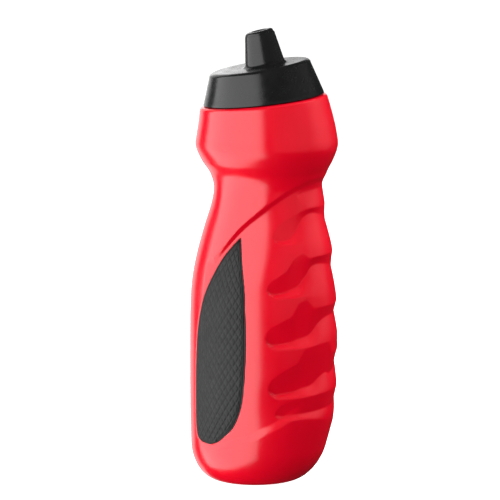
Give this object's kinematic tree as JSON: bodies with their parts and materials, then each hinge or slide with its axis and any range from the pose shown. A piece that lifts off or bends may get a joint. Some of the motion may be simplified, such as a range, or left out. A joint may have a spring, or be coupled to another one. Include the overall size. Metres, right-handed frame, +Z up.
{
  "type": "sports squeeze bottle",
  "caption": "Waisted plastic squeeze bottle with slanted finger grooves, rubber grip panels and a leaning screw cap with a tapered spout.",
  "frame": {"origin": "on the table under the middle of the bottle's outline, at the height of the standing ring", "axes": "+Z up the bottle, +X towards the finger grooves, -X towards the drinker's side that the cap leans to, Y across between the two grip panels"},
  "size_m": [0.0752, 0.0752, 0.2302],
  "materials": {
    "body_plastic": "satin gloss, blow moulded",
    "grip_rubber": "matt, moulded lozenge pattern",
    "cap_plastic": "semi-gloss, injection moulded",
    "silicone": "translucent satin",
    "retainer_plastic": "natural polypropylene"
  },
  "bodies": {
    "bottle": {"bottle_body": "body_plastic", "grip_panel_left": "grip_rubber", "grip_panel_right": "grip_rubber"},
    "cap_seal": {"seal_washer": "silicone"},
    "cap": {"cap": "cap_plastic", "spout_valve": "silicone", "valve_retainer": "retainer_plastic"}
  },
  "joints": [
    {"name": "cap_lift", "type": "slide", "parent": "bottle", "child": "cap_seal", "axis": [-0.1097, 0, 0.994], "range_m": [0, 0.02001]},
    {"name": "cap_turn", "type": "hinge", "parent": "cap_seal", "child": "cap", "pos_m": [0.0001, 0, 0.194], "axis": [-0.1097, 0, 0.994], "range_deg": [0, 1440]}
  ],
  "couplings": [
    {"joint": "cap_lift", "follows": "cap_turn", "m_per_rad": 0.00079577}
  ]
}
